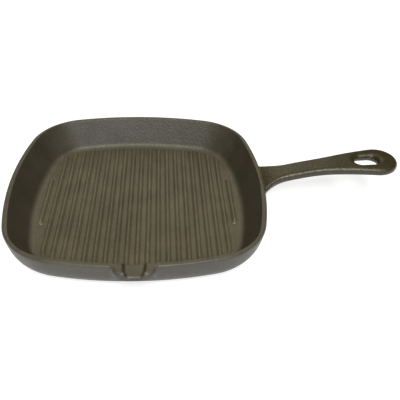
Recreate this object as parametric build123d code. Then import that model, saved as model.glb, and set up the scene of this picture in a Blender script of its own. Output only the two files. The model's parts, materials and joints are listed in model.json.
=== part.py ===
from build123d import *
import os
from math import acos, asin, atan2, cos, degrees, hypot, pi, sin, sqrt, tan

# Cast-iron square grill pan. The origin is the middle of the flat base, +Z is up,
# +X runs along the handle and -Y is the side with the pouring lip. Lengths are in
# millimetres and angles in degrees.

# Outside of the pan body. The rim's width is measured between the lines of its
# walls, before their top edge is rounded.
rim_width = 261.2
rim_corner_radius = 62.0
rim_side_radius = 352.6
pan_height = 37.0
wall_flare = 11.8
base_edge_radius = 30.0
wall_bow = 2.0
rim_edge_radius = 2.2

# Inside of the pan body. The taper is how far each inner wall leans in from the
# mouth down to the floor.
rim_land = 5.2
well_taper = 15.7
floor_thickness = 5.4
well_corner_radius = 43.0
well_mouth_corner_radius = 48.5
well_floor_radius = 8.0

# Grill ribs. The gutters are the bare floor between the ribs and the well's round
# foot, at the long ribs' ends and beside the short ribs.
full_rib_count = 19
rib_end_gutter = 1.5
short_rib_gutter = 3.1
rib_height = 4.0
rib_foot_width = 6.0
rib_crest_width = 2.5
rib_crest_radius = 0.9
short_rib_length = 76.0

# Pouring lip
channel_width = 21.2
channel_floor_width = 16.8
channel_depth = 4.0
lip_reach = 8.4
lip_root_cheek = 8.7
lip_nose_cheek = 4.6
lip_nose_corner_radius = 9.0
lip_nose_depth = 6.8
lip_nose_top_radius = 3.4
lip_nose_under_radius = 1.4
lip_root_depth = 19.0
lip_foot_width = 18.0
lip_flank_radius = 6.0

# Handle
handle_reach = 139.2
handle_apex_rise = 19.8
handle_apex_inset = 5.1
handle_arch_radius = 435.0
handle_root_arch_radius = 50.0
handle_root_arch_reach = 15.4
handle_thickness = 9.4
handle_crown_radius = 400.0
handle_band_width = 60.0
handle_tip_radius = 21.0
handle_neck_width = 23.0
handle_neck_reach = 43.9
handle_neck_hollow_share = 0.6927
handle_flare_reach = 25.2
handle_flare_radius = 35.8
handle_fillet_radius = 9.0
handle_root_line = 1.6
handle_edge_share = 0.499

# Hanging hole through the handle's end
eye_length = 27.0
eye_width = 16.4
eye_inset = 32.2
eye_edge_radius = 3.8

# How far cutting tools pass the faces that they cut
overrun = 6.0

rim_half = rim_width / 2
base_half = rim_half - wall_flare
well_half = rim_half - rim_land - well_taper
rib_crest_z = floor_thickness + rib_height
channel_z = pan_height - channel_depth

# The floor plate ends inside the round heel. The well's floor is flat up to where
# its round foot starts.
plate_half = base_half - base_edge_radius
well_lean = atan2(well_taper, pan_height - floor_thickness)
flat_inset = well_floor_radius * tan((pi / 2 - well_lean) / 2)
flat_half = well_half - flat_inset
rib_field_half = flat_half - rib_end_gutter
rib_field_corner_radius = well_corner_radius - flat_inset - rib_end_gutter
outermost_rib = (full_rib_count + 1) // 2
rib_pitch = (flat_half - short_rib_gutter - rib_foot_width / 2) / outermost_rib

# The handle's crowned top falls off towards the edges of the band, which leaves an
# edge that is lower than the handle is thick. That edge can be rounded up to half its
# height. The neck's hollow can be no flatter than the way to the tip allows.
half_band = handle_band_width / 2
handle_crown_drop = handle_crown_radius - sqrt(handle_crown_radius**2 - half_band**2)
handle_edge_radius = (handle_thickness - handle_crown_drop) * handle_edge_share
handle_neck_half = handle_neck_width / 2
handle_neck_length = handle_reach - handle_tip_radius - handle_neck_reach
flattest_hollow = (
    handle_neck_length**2 / (handle_tip_radius - handle_neck_half)
    - handle_tip_radius
    - handle_neck_half
) / 2
handle_neck_radius = flattest_hollow * handle_neck_hollow_share


def arc_edge(centre_x, centre_y, radius, start, end):
    """A circular arc about a centre, between two angles in radians."""
    middle = (start + end) / 2
    points = [
        (centre_x + radius * cos(angle), centre_y + radius * sin(angle))
        for angle in (start, middle, end)
    ]
    return ThreePointArc(*points)


def outline_centres(half, corner_radius, side_radius):
    """Centre of a side arc, centre of a corner arc and the side arc's half angle.

    The outline is a square with bulging sides: each side is one large arc, and
    each corner an arc tangent to both neighbours.
    """
    side_centre = half - side_radius
    reach = side_radius - corner_radius
    corner_centre = (side_centre + sqrt(2 * reach**2 - side_centre**2)) / 2
    half_angle = atan2(corner_centre, corner_centre - side_centre)
    return side_centre, corner_centre, half_angle


def outline_face(half, corner_radius, side_radius, level):
    """The square outline with bulging sides, as a flat face at a height."""
    side_centre, corner_centre, half_angle = outline_centres(
        half, corner_radius, side_radius
    )
    side = arc_edge(side_centre, 0, side_radius, -half_angle, half_angle)
    corner = arc_edge(
        corner_centre, corner_centre, corner_radius,
        half_angle, pi / 2 - half_angle,
    )
    edges = []
    for quarter in range(4):
        turn = Rot(0, 0, quarter * 90)
        edges += [turn * side, turn * corner]
    return Pos(0, 0, level) * make_face(Curve() + edges)


def swept_round(profile):
    """A section, drawn in the XZ plane through a side's middle, carried round the rim.

    Each arc of the rim's outline turns the section about that arc's own centre.
    """
    side_centre, corner_centre, half_angle = outline_centres(
        rim_half, rim_corner_radius, rim_side_radius
    )
    side_axis = Axis((side_centre, 0, 0), (0, 0, 1))
    corner_axis = Axis((corner_centre, corner_centre, 0), (0, 0, 1))
    turn = degrees(half_angle)
    side = revolve(profile.rotate(side_axis, -turn), side_axis, 2 * turn)
    corner = revolve(profile.rotate(side_axis, turn), corner_axis, 90 - 2 * turn)
    pieces = []
    for quarter in range(4):
        spin = Rot(0, 0, quarter * 90)
        pieces += [spin * side, spin * corner]
    return pieces[0] + pieces[1:]


def rounded(section, x, y, radius):
    """Round the corner of a flat section that lies nearest to a point."""
    corner = section.vertices().sort_by_distance((x, y, 0))[0]
    return fillet(corner, radius)


def outer_body():
    """The pan body as if it were filled, from the floor plate's edge outwards."""
    inner = plate_half
    foot = base_half
    run = rim_half - foot
    slant = hypot(run, pan_height)
    bow_x = (foot + rim_half) / 2 + wall_bow * pan_height / slant
    bow_z = pan_height / 2 - wall_bow * run / slant
    section = make_face([
        Line((inner, 0), (foot, 0)),
        ThreePointArc((foot, 0), (bow_x, bow_z), (rim_half, pan_height)),
        Line((rim_half, pan_height), (inner, pan_height)),
        Line((inner, pan_height), (inner, 0)),
    ])
    section = rounded(section, foot, 0, base_edge_radius)
    section = rounded(section, rim_half, pan_height, rim_edge_radius)
    return swept_round(Plane.XZ * section)


def well():
    """The hollow inside the walls, down to the floor, with its rounded foot."""
    foot = well_half
    mouth = rim_half - rim_land
    depth = pan_height - floor_thickness
    above = (depth + overrun) / depth
    top = foot + (mouth - foot) * above
    top_corner = well_corner_radius
    top_corner += (well_mouth_corner_radius - well_corner_radius) * above
    side_radius_at_foot = rim_side_radius - (rim_half - foot)
    side_radius_at_top = rim_side_radius - (rim_half - top)
    hollow = loft([
        outline_face(foot, well_corner_radius, side_radius_at_foot, floor_thickness),
        outline_face(top, top_corner, side_radius_at_top, pan_height + overrun),
    ], ruled=True)
    foot_edges = hollow.edges().group_by(Axis.Z)[0]
    return fillet(foot_edges, well_floor_radius)


def pouring_channel():
    """The slot that lets fat run out through the wall and over the lip."""
    floor = channel_floor_width / 2
    mouth = channel_width / 2
    section = make_face(Polyline(
        (-floor, channel_z), (floor, channel_z), (mouth, pan_height),
        (mouth, pan_height + overrun), (-mouth, pan_height + overrun),
        (-mouth, pan_height), close=True,
    ))
    front = rim_half + lip_reach + overrun
    run = rim_land + lip_reach + 2 * overrun
    return Pos(0, run - front, 0) * extrude(Plane.XZ * section, run)


def pan_floor():
    """The flat plate that the ribs stand on."""
    inset = rim_half - plate_half
    face = outline_face(
        plate_half, rim_corner_radius - inset, rim_side_radius - inset, 0
    )
    return extrude(face, floor_thickness)


def side_wall(body, channel):
    """The wall with its heel, rim and the notch in front."""
    return body - well() - channel


def rib_section(half):
    """Cross-section of a rib standing on the floor, whole or only its right half."""
    foot = rib_foot_width / 2
    crest = rib_crest_width / 2
    left_foot = 0 if half else -foot
    left_crest = 0 if half else -crest
    section = make_face(Polyline(
        (left_foot, floor_thickness), (foot, floor_thickness),
        (crest, rib_crest_z), (left_crest, rib_crest_z), close=True,
    ))
    section = rounded(section, crest, rib_crest_z, rib_crest_radius)
    if not half:
        section = rounded(section, -crest, rib_crest_z, rib_crest_radius)
    return section


def rib_field():
    """The space that the long ribs fill, with ends as steep as a rib's flanks."""
    foot = rib_field_half
    flank = (rib_foot_width - rib_crest_width) / 2
    tall = rib_height + overrun
    inset = flank * tall / rib_height
    side_radius = rim_side_radius - (rim_half - foot)
    return loft([
        outline_face(foot, rib_field_corner_radius, side_radius, floor_thickness),
        outline_face(
            foot - inset, rib_field_corner_radius - inset, side_radius - inset,
            floor_thickness + tall,
        ),
    ], ruled=True)


def long_rib(x, field):
    """A rib that runs from the front of the floor to its back."""
    run = rib_field_half + overrun
    bar = extrude(Plane.XZ * rib_section(False), run, both=True)
    return Pos(x, 0, 0) * bar & field


def short_rib(x):
    """A rib beside the wall, with both ends rounded."""
    run = (short_rib_length - rib_foot_width) / 2
    bar = extrude(Plane.XZ * rib_section(False), run, both=True)
    tip = Pos(0, run, 0) * revolve(Plane.XZ * rib_section(True), Axis.Z, 180)
    return Pos(x, 0, 0) * (bar + tip + Rot(0, 0, 180) * tip)


def pour_spout(body, channel):
    """The lip outside the wall, with the channel along its top."""
    nose_y = -(rim_half + lip_reach)
    back_y = -(rim_half - rim_land - overrun)
    root = channel_width / 2 + lip_root_cheek
    nose = channel_width / 2 + lip_nose_cheek
    plan = make_face(Polyline(
        (-root, back_y), (-root, -rim_half), (-nose, nose_y),
        (nose, nose_y), (root, -rim_half), (root, back_y), close=True,
    ))
    plan = rounded(plan, nose, nose_y, lip_nose_corner_radius)
    plan = rounded(plan, -nose, nose_y, lip_nose_corner_radius)
    nose_z = pan_height - lip_nose_depth
    root_z = pan_height - lip_root_depth
    side = make_face(Polyline(
        (back_y, root_z), (nose_y, nose_z), (nose_y, pan_height),
        (back_y, pan_height), close=True,
    ))
    side = rounded(side, nose_y, pan_height, lip_nose_top_radius)
    side = rounded(side, nose_y, nose_z, lip_nose_under_radius)
    foot = lip_foot_width / 2
    front = make_face(Polyline(
        (-root, pan_height), (-root, nose_z), (-foot, root_z),
        (foot, root_z), (root, nose_z), (root, pan_height), close=True,
    ))
    for sign in (-1, 1):
        front = rounded(front, sign * root, nose_z, lip_flank_radius)
        front = rounded(front, sign * foot, root_z, lip_flank_radius)
    lip = extrude(plan, pan_height) & extrude(Plane.YZ * side, root, both=True)
    lip = lip & extrude(Plane.XZ * front, -nose_y)
    return lip - channel - body


def handle_path():
    """The handle's middle line: a long arch and, at the root, a steeper one."""
    apex_x = rim_half + handle_reach - handle_apex_inset
    apex_z = pan_height + handle_apex_rise
    arch_z = apex_z - handle_arch_radius
    join_x = rim_half + handle_root_arch_reach
    join = asin((apex_x - join_x) / handle_arch_radius)
    join_z = arch_z + handle_arch_radius * cos(join)
    root_x = join_x + handle_root_arch_radius * sin(join)
    root_z = join_z - handle_root_arch_radius * cos(join)
    start_x = rim_half - rim_land - overrun
    start = asin((root_x - start_x) / handle_root_arch_radius)
    end = -asin((handle_apex_inset + overrun) / handle_arch_radius)
    upright = pi / 2
    root = arc_edge(
        root_x, root_z, handle_root_arch_radius, upright + start, upright + join
    )
    arch = arc_edge(apex_x, arch_z, handle_arch_radius, upright + join, upright + end)
    return Plane.XZ * (Curve() + [root, arch])


def handle_band():
    """A band with a crowned top, as wide as the handle could be, along its line."""
    path = handle_path()
    half = half_band
    lower = -handle_thickness / 2
    crown = handle_crown_drop
    top = handle_thickness / 2
    section = make_face([
        Line((-half, lower), (half, lower)),
        Line((half, lower), (half, top - crown)),
        ThreePointArc((half, top - crown), (0, top), (-half, top - crown)),
        Line((-half, top - crown), (-half, lower)),
    ])
    start = path.edges().sort_by(Axis.X)[0]
    place = Plane(start @ 0, x_dir=(0, 1, 0), z_dir=start % 0)
    return sweep(place * section, path)


def handle_plan():
    """The handle's outline seen from above: one half and its mirror image.

    From the wall outwards come a small fillet, the flare, the neck, a straight
    taper and the round tip, each tangent to the next.
    """
    neck = handle_neck_half
    neck_x = rim_half + handle_neck_reach
    tip_x = neck_x + handle_neck_length
    flare_x = rim_half + handle_flare_reach
    flare_y = neck + handle_flare_radius
    down = -pi / 2
    root_x = rim_half - handle_root_line
    inner = handle_flare_radius - handle_fillet_radius
    swing = asin((flare_x - handle_fillet_radius - root_x) / inner)
    fillet_x = flare_x - inner * sin(swing)
    fillet_y = flare_y - inner * cos(swing)
    over = tip_x - neck_x
    rise = neck + handle_neck_radius
    taper = atan2(over, rise)
    taper -= acos((handle_neck_radius + handle_tip_radius) / hypot(over, rise))
    neck_end = (
        neck_x + handle_neck_radius * sin(taper),
        neck + handle_neck_radius * (1 - cos(taper)),
    )
    tip_start = (
        tip_x - handle_tip_radius * sin(taper),
        handle_tip_radius * cos(taper),
    )
    back_x = rim_half - rim_land - overrun
    half = make_face([
        Line((back_x, 0), (back_x, fillet_y)),
        Line((back_x, fillet_y), (root_x, fillet_y)),
        arc_edge(fillet_x, fillet_y, handle_fillet_radius, 2 * down, down - swing),
        arc_edge(flare_x, flare_y, handle_flare_radius, down - swing, down),
        Line((flare_x, neck), (neck_x, neck)),
        arc_edge(neck_x, rise, handle_neck_radius, down, down + taper),
        Line(neck_end, tip_start),
        arc_edge(tip_x, 0, handle_tip_radius, taper - down, 0),
        Line((tip_x + handle_tip_radius, 0), (back_x, 0)),
    ])
    return half + mirror(half, Plane.XZ)


def handle(body):
    """The handle with rounded edges and the hanging hole near its end.

    Rounding one edge of the tip rounds all that run on from it, up to the wall.
    """
    tall = pan_height + handle_apex_rise + handle_thickness
    blank = handle_band() & extrude(handle_plan(), tall)
    tip = blank.faces().sort_by(Axis.X)[-1]
    blank = fillet(tip.edges().sort_by(SortBy.LENGTH)[-2:], handle_edge_radius)
    eye_x = rim_half + handle_reach - eye_inset
    eye = Pos(eye_x, 0, 0) * extrude(SlotOverall(eye_length, eye_width), tall)
    reach = (eye_length + eye_edge_radius) / 2
    holed = blank - eye
    mouths = holed.edges().filter_by_position(Axis.X, eye_x - reach, eye_x + reach)
    mouths = mouths.filter_by_position(Axis.Y, -eye_width, eye_width)
    mouths = mouths.filter_by(Axis.Z, reverse=True)
    return fillet(mouths, eye_edge_radius) - body


def main():
    os.makedirs("parts", exist_ok=True)
    body = outer_body()
    channel = pouring_channel()
    field = rib_field()
    nodes = {
        "pan_floor": pan_floor(),
        "side_wall": side_wall(body, channel),
        "pour_spout": pour_spout(body, channel),
        "handle": handle(body),
    }
    for number in range(-outermost_rib, outermost_rib + 1):
        name = f"grill_rib_{number + outermost_rib + 1:02d}"
        x = number * rib_pitch
        short = abs(number) == outermost_rib
        nodes[name] = short_rib(x) if short else long_rib(x, field)
    for name, shape in nodes.items():
        export_step(shape, f"parts/{name}.step")
        print(name, len(shape.solids()), round(shape.volume))


main()
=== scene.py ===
# %% [markdown]
# # A square grill pan in cast iron
# The real pan is one casting: a flat floor, four bulging walls, a pouring lip, raised
# ribs and an arched handle with a slot to hang it by. This lesson builds the parts
# that the eye tells apart as surfaces worked out with numpy, gives them one iron
# finish with three settings, with shade and light painted on by the way faces look,
# and lights them like a catalogue picture.
#
# The solid model comes first: every surface has to fit into it.

# %% Load the solid model
import json
import bmesh
import bpy
import numpy as np
from numpy import clip, cos, hypot, linspace, pi, sin, sqrt, tan
from mathutils import Matrix

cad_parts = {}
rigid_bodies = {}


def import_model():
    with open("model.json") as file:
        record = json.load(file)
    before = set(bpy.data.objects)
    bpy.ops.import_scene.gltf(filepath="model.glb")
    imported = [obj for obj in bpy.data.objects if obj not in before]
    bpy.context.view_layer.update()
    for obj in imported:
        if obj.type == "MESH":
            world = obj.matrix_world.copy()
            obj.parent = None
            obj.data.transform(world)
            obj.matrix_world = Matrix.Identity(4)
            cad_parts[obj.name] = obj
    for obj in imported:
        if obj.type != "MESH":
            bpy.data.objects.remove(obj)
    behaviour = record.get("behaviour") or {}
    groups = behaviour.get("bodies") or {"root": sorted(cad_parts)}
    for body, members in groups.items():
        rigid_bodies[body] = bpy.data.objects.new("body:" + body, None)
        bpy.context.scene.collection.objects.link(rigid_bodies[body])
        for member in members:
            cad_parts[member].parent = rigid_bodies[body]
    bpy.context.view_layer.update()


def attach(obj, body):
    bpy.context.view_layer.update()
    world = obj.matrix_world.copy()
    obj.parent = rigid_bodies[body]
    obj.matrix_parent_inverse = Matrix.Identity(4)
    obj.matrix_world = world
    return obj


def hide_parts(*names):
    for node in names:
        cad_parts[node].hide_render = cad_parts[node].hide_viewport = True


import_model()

MM = 0.001

# %% [markdown]
# ## The camera
# A photograph of a square pan tells where the camera stood: the rim's outline, the
# base's outline and the point where the lines of the ribs would meet fix its place
# and turn. A look-at constraint could aim it, but a measured turn is exact, so its
# three axes are written into its matrix.

# %% Set up the camera
def put_in_scene(name, data):
    """An object for a camera, a mesh or a lamp, linked to the scene."""
    thing = bpy.data.objects.new(name, data)
    bpy.context.scene.collection.objects.link(thing)
    return thing


def axes_matrix(right, up, back, place):
    """An object's matrix: its three axes and its place are the columns."""
    matrix = np.eye(4)
    matrix[:3] = np.stack([right, up, back, place], axis=1)
    return Matrix(matrix.tolist())


def turned_camera(place, yaw, pitch, roll, focal_pixels, picture_width):
    """A camera from its place in metres and its turns in radians.

    Forward starts along +Y, turns by yaw towards +X and dips by pitch. Roll turns the
    picture about forward. The lens is the focal length in pixels times the sensor's
    width over the picture's width. It is shifted by half a pixel because the picture
    was measured from its pixels' middles.
    """
    forward = np.array([sin(yaw) * cos(pitch), cos(yaw) * cos(pitch),
                        -sin(pitch)])
    level = np.array([cos(yaw), -sin(yaw), 0.0])
    upright = np.cross(level, forward)
    right = cos(roll) * level + sin(roll) * upright
    up = cos(roll) * upright - sin(roll) * level
    data = bpy.data.cameras.new("pan_camera")
    data.sensor_width = 36.0
    data.lens = focal_pixels / picture_width * data.sensor_width
    data.shift_x, data.shift_y = -0.5 / picture_width, 0.5 / picture_width
    camera = put_in_scene("pan_camera", data)
    camera.matrix_world = axes_matrix(right, up, -forward, place)
    return camera


camera = turned_camera(place=(0.023358, -0.438562, 0.348562), yaw=0.09561, pitch=0.66099,
                       roll=0.05463, focal_pixels=513.537, picture_width=400)
bpy.context.scene.camera = camera
print("lens in mm:", round(camera.data.lens, 2))

# %% [markdown]
# ## The outline of the pan
# Seen from above the pan is a square with soft corners and sides that bulge a little.
# Four long arcs and four short ones, each tangent to its neighbours, draw it exactly.
# A superellipse is shorter to write but can't match both the flat sides and the tight
# corners. The same function draws rim, base, inner wall and floor, each with sizes of
# its own. All sizes are in millimetres.

# %% The square outline
SIDE_SHARE = 2 / 3


def corner_of(half, corner_radius, side_radius):
    """Where a side's arc has its centre, where a corner's has, and a side's half angle.

    The side arc is centred on the axis. The corner arc is centred on the diagonal, and
    its distance from the side's centre is the difference of the two radii.
    """
    side_centre = half - side_radius
    reach = side_radius - corner_radius
    corner_centre = (side_centre + sqrt(2 * reach**2 - side_centre**2)) / 2
    return side_centre, corner_centre, np.arctan2(corner_centre, corner_centre - side_centre)


def square_outline(walk, half, corner_radius, side_radius):
    """Points of the outline and the directions that face out of it.

    walk goes from 0 to 4, one unit for each side with the corner after it. The first
    two thirds of a unit turn along the side's arc, the rest along the corner's, and
    whole units turn everything by a quarter.
    """
    side_centre, corner_centre, turn = corner_of(half, corner_radius, side_radius)
    quarter = np.floor(walk)
    part = walk - quarter
    on_side = part < SIDE_SHARE
    along_side = (2 * part / SIDE_SHARE - 1) * turn
    along_corner = turn + (part - SIDE_SHARE) / (1 - SIDE_SHARE) * (pi / 2 - 2 * turn)
    angle = np.where(on_side, along_side, along_corner)
    radius = np.where(on_side, side_radius, corner_radius)
    x = np.where(on_side, side_centre, corner_centre) + radius * cos(angle)
    y = np.where(on_side, 0.0, corner_centre) + radius * sin(angle)
    spin = quarter * pi / 2
    points = np.stack([x * cos(spin) - y * sin(spin),
                       x * sin(spin) + y * cos(spin)], axis=-1)
    outward = np.stack([cos(angle + spin), sin(angle + spin)], axis=-1)
    return points, outward


RIM_HALF, RIM_CORNER, RIM_SIDE = 130.6, 62.0, 352.6
rim_side_centre, _, rim_turn = corner_of(RIM_HALF, RIM_CORNER, RIM_SIDE)
SIDE_END = RIM_SIDE * sin(rim_turn)
print(f"a side's arc ends {SIDE_END:.1f} mm from its middle")

# %% [markdown]
# ## Where the surface is measured
# The pan's body becomes one closed surface: rings that follow the outline, all with the
# same stations. They stand close together in front, where the pouring lip and its
# channel have small forms, and wide apart along the plain sides.

# %% Stations round the pan
SIDE_STEPS, CORNER_STEPS = 52, 24
EVEN_HALF = 24.0
# the channel's floor, its sloping side, the lip and the plain wall beyond it
FRONT_MARKS, FRONT_STEPS = [0, 8, 11.2, EVEN_HALF, SIDE_END], [1.0, 0.2, 0.45, 2.4]


def spaced(marks, steps):
    """Numbers from mark to mark, each stretch in about equal steps of its own length."""
    runs = [linspace(a, b, max(1, round((b - a) / s)), endpoint=False)
            for a, b, s in zip(marks[:-1], marks[1:], steps)]
    return np.append(np.concatenate(runs), marks[-1])


right_of_middle = spaced(FRONT_MARKS, FRONT_STEPS)[:-1]
front_x = np.concatenate([-right_of_middle[:0:-1], right_of_middle])
side_walk = linspace(0, SIDE_SHARE, SIDE_STEPS, endpoint=False)
corner_walk = linspace(SIDE_SHARE, 1, CORNER_STEPS, endpoint=False)
plain_quarter = np.concatenate([side_walk, corner_walk])
plain_walk = np.concatenate([plain_quarter, plain_quarter + 1, plain_quarter + 2])
front = slice(len(plain_walk) + 1, len(plain_walk) + 1 + len(front_x))
stations = front.stop + len(corner_walk)


def eased(share):
    """A share kept from 0 to 1 that starts and stops gently: 3 squares less 2 cubes."""
    share = clip(share, 0, 1)
    return share * share * (3 - 2 * share)


def walk_for(half, corner_radius, side_radius):
    """The stations' places on one ring.

    Near the middle of the front a station keeps the same x on every ring, so that the
    channel's edges are straight. Further out it slides over to the ring's own share.
    """
    _, _, turn = corner_of(half, corner_radius, side_radius)
    radius, turn = side_radius[front], turn[front]
    ease = eased((abs(front_x) - EVEN_HALF) / (SIDE_END - EVEN_HALF))
    x = front_x * (1 + (radius * sin(turn) / SIDE_END - 1) * ease)
    front_walk = 3 + SIDE_SHARE * (np.arcsin(x / radius) / turn + 1) / 2
    return np.concatenate([plain_walk, [3.0], front_walk, 3 + corner_walk])


def ring(half, corner_radius, side_radius):
    """One ring's points and outward directions, for sizes that may differ by station."""
    sizes = [np.broadcast_to(np.asarray(s, float), (stations,))
             for s in (half, corner_radius, side_radius)]
    return square_outline(walk_for(*sizes), *sizes)


def rim_ring(half):
    """A ring that keeps an even distance from the rim's outline."""
    inset = RIM_HALF - half
    return ring(half, RIM_CORNER - inset, RIM_SIDE - inset)


print("stations round the pan:", stations)

# %% [markdown]
# ## The section of the wall
# Outside, the wall leans out and bows: a long arc runs through foot, bow and rim. The
# tall heel below and the rim's edge above are circles tangent to it, and tangent
# circles have their centres a difference of radii apart.

# %% Outer section
HEIGHT, BASE_HALF, BOW = 37.0, 118.8, 2.0
HEEL, RIM_ROUND = 30.0, 2.2
# an arc's radius is its chord squared over eight bows, plus half a bow
chord = hypot(RIM_HALF - BASE_HALF, HEIGHT)
BOW_RADIUS = chord**2 / (8 * BOW) + BOW / 2
across, upward = HEIGHT / chord, (BASE_HALF - RIM_HALF) / chord
BOW_X = (BASE_HALF + RIM_HALF) / 2 + (BOW - BOW_RADIUS) * across
BOW_Z = HEIGHT / 2 + (BOW - BOW_RADIUS) * upward


def wall_half(z):
    """How far out the outer wall stands at a height: a point of the long arc."""
    return BOW_X + sqrt(BOW_RADIUS**2 - (z - BOW_Z) ** 2)


def tangent_centre(radius, z):
    """The centre, at a given height, of a circle that touches the long arc inside."""
    return BOW_X + sqrt((BOW_RADIUS - radius) ** 2 - (z - BOW_Z) ** 2)


heel_x = tangent_centre(HEEL, HEEL)
heel_stop = np.arctan2(HEEL - BOW_Z, heel_x - BOW_X)
edge_x = tangent_centre(RIM_ROUND, HEIGHT - RIM_ROUND)
edge_start = np.arctan2(HEIGHT - RIM_ROUND - BOW_Z, edge_x - BOW_X)
heel_top = HEEL + HEEL * sin(heel_stop)
edge_low = HEIGHT - RIM_ROUND + RIM_ROUND * sin(edge_start)


def outer_half(z):
    """How far out the skin stands at a height: the heel's circle, then the long arc."""
    sunk = np.minimum(z, HEEL) - HEEL
    return np.where(z < heel_top, heel_x + sqrt(HEEL**2 - sunk**2), wall_half(z))


# a table for the way back, from how far out to how high
level_table = linspace(0, edge_low, 400)
out_table = outer_half(level_table)
print(f"the wall runs from z {heel_top:.1f} to {edge_low:.1f}",
      f"and the rim is {edge_x + RIM_ROUND:.2f} mm from the middle")

# %% [markdown]
# ## The pouring lip and its channel
# The lip is a small shelf with a rolled edge, and a channel with sloping sides runs
# along its top. A lump joined on with a boolean would do, but letting the outline swell
# out keeps one skin with smooth joins, as the casting has. So the lip is a second
# outline that the wall's rings move towards.

# %% The channel's depth
CHANNEL_FLOOR, CHANNEL_MOUTH, CHANNEL_DEPTH, CHANNEL_SOFT = 8.4, 10.6, 4.0, 0.7
# where the channel starts to get narrower, over what length, and by how much
NARROWS_AT, NARROWS_OVER, NARROWS_BY = 123, 9, 0.6
CLOSES_AT, CLOSES_OVER, CLOSES_BY = 133, 4, 1.6


def soft_ramp(value, softness):
    """Zero below zero and the value above it, with a soft bend between."""
    return (value + sqrt(value**2 + softness**2)) / 2


def top_height(x, y, front_side):
    """The height of the pan's top at a place: the rim, less the channel's depth.

    The channel narrows a little across the wall and closes in on the nose in a curve.
    """
    slope = CHANNEL_DEPTH / (CHANNEL_MOUTH - CHANNEL_FLOOR)
    narrowing = NARROWS_BY * clip((-y - NARROWS_AT) / NARROWS_OVER, 0, 1)
    closing = CLOSES_BY * clip((-y - CLOSES_AT) / CLOSES_OVER, 0, 1) ** 2
    wide = abs(x) + narrowing + closing
    rise = (soft_ramp(wide - CHANNEL_FLOOR, CHANNEL_SOFT)
            - soft_ramp(wide - CHANNEL_MOUTH, CHANNEL_SOFT))
    return np.where(front_side, HEIGHT - CHANNEL_DEPTH + slope * rise, HEIGHT)


middle_depth = HEIGHT - top_height(0.0, -RIM_HALF, True)
print(f"the channel is {middle_depth:.2f} mm deep where it crosses the rim")

# %% The lip's outline
LIP_REACH, NOSE_HALF, NOSE_ROUND = 8.4, 15.2, 9.0
LIP_ROOT_HALF, LIP_FILLET = 19.3, 4.0
LIP_SAMPLES = 60


def lip_outline():
    """Half of the lip's outline, as points with outward directions, by arc length.

    From the middle of the nose: straight on, round the nose's corner, along the flank,
    and through a hollow fillet into the line of the rim.
    """
    flank = np.arctan2(LIP_REACH, LIP_ROOT_HALF - NOSE_HALF)
    nose_flat = NOSE_HALF - NOSE_ROUND * tan(flank / 2)
    nose_y = -(RIM_HALF + LIP_REACH)
    root_y = -(rim_side_centre + sqrt(RIM_SIDE**2 - LIP_ROOT_HALF**2))
    rim_slope = np.arcsin(LIP_ROOT_HALF / RIM_SIDE)
    hollow = LIP_FILLET * tan((flank - rim_slope) / 2)
    straight = linspace(0, nose_flat, LIP_SAMPLES)
    turn = linspace(0, flank, LIP_SAMPLES)[1:]
    back = linspace(flank, rim_slope, LIP_SAMPLES)[1:]
    along = np.array([cos(flank), sin(flank)])
    away = np.array([sin(flank), -cos(flank)])
    centre = np.array([LIP_ROOT_HALF, root_y]) - hollow * along + LIP_FILLET * away
    points = np.concatenate([
        np.stack([straight, np.full_like(straight, nose_y)], -1),
        np.stack([nose_flat + NOSE_ROUND * sin(turn),
                  nose_y + NOSE_ROUND * (1 - cos(turn))], -1),
        np.stack([centre[0] - LIP_FILLET * sin(back),
                  centre[1] + LIP_FILLET * cos(back)], -1),
    ])
    heading = np.concatenate([np.zeros_like(straight), turn, back])
    outward = np.stack([sin(heading), -cos(heading)], -1)
    length = np.concatenate([[0], np.cumsum(hypot(*np.diff(points, axis=0).T))])
    return points, outward, length, nose_flat


lip_points, lip_out, lip_length, nose_flat = lip_outline()
LIP_END = float(lip_points[-1, 0])
print(f"the lip joins the rim {LIP_END:.1f} mm from its middle;",
      f"half of its edge is {lip_length[-1]:.1f} mm long")

# %% [markdown]
# ## Rings of the edge
# The wall's rings come straight from the section. Where a station belongs to the lip,
# they follow the lip's rolled section, and a weight from 0 to 1 mixes the two.

# %% Where the edge runs: rim and lip
LIP_BLEND = 6.0
# a place belongs to the front side when its y is below these
FRONT_OUTSIDE, FRONT_INSIDE = -120, -100


def lip_stations():
    """For each station: its point on the rim or lip line, its direction and its weight.

    Over the nose's flat a station keeps its x. From there to the lip's root the x is
    stretched over the rest of the lip's line. The weight grows with the distance
    between lip and rim and is 1 from 6 mm on.
    """
    bare, outward = rim_ring(RIM_HALF)
    points, outward = bare.copy(), outward.copy()
    near = abs(front_x) < LIP_END
    side = abs(front_x[near])
    stretch = (lip_length[-1] - nose_flat) / (LIP_END - nose_flat)
    reach = np.where(side < nose_flat, side, nose_flat + (side - nose_flat) * stretch)
    sign = np.where(front_x[near] < 0, -1.0, 1.0)
    places = np.arange(stations)[front][near]
    for axis, flip in ((0, sign), (1, 1.0)):
        points[places, axis] = np.interp(reach, lip_length, lip_points[:, axis]) * flip
        outward[places, axis] = np.interp(reach, lip_length, lip_out[:, axis]) * flip
    return points, outward, eased(hypot(*(points - bare).T) / LIP_BLEND)


edge_line, edge_out, lip_weight = lip_stations()
edge_top = top_height(edge_line[:, 0], edge_line[:, 1], edge_line[:, 1] < FRONT_OUTSIDE)
print("stations on the lip:", int((lip_weight > 0).sum()))

# %% The section of the edge
# rings up to the corner, up the face and over the top
LOW_RINGS, FACE_RINGS, HIGH_RINGS = 6, 4, 13
EDGE_BAND = 8.0
LOW_ROUND, HIGH_ROUND, ROUND_GAIN = 1.9, 3.0, 0.4
LIP_THICK, THICK_LOSS = 7.7, 0.9
SHELF_SLOPE, SHELF_START = np.radians(20), np.radians(-40)


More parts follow.
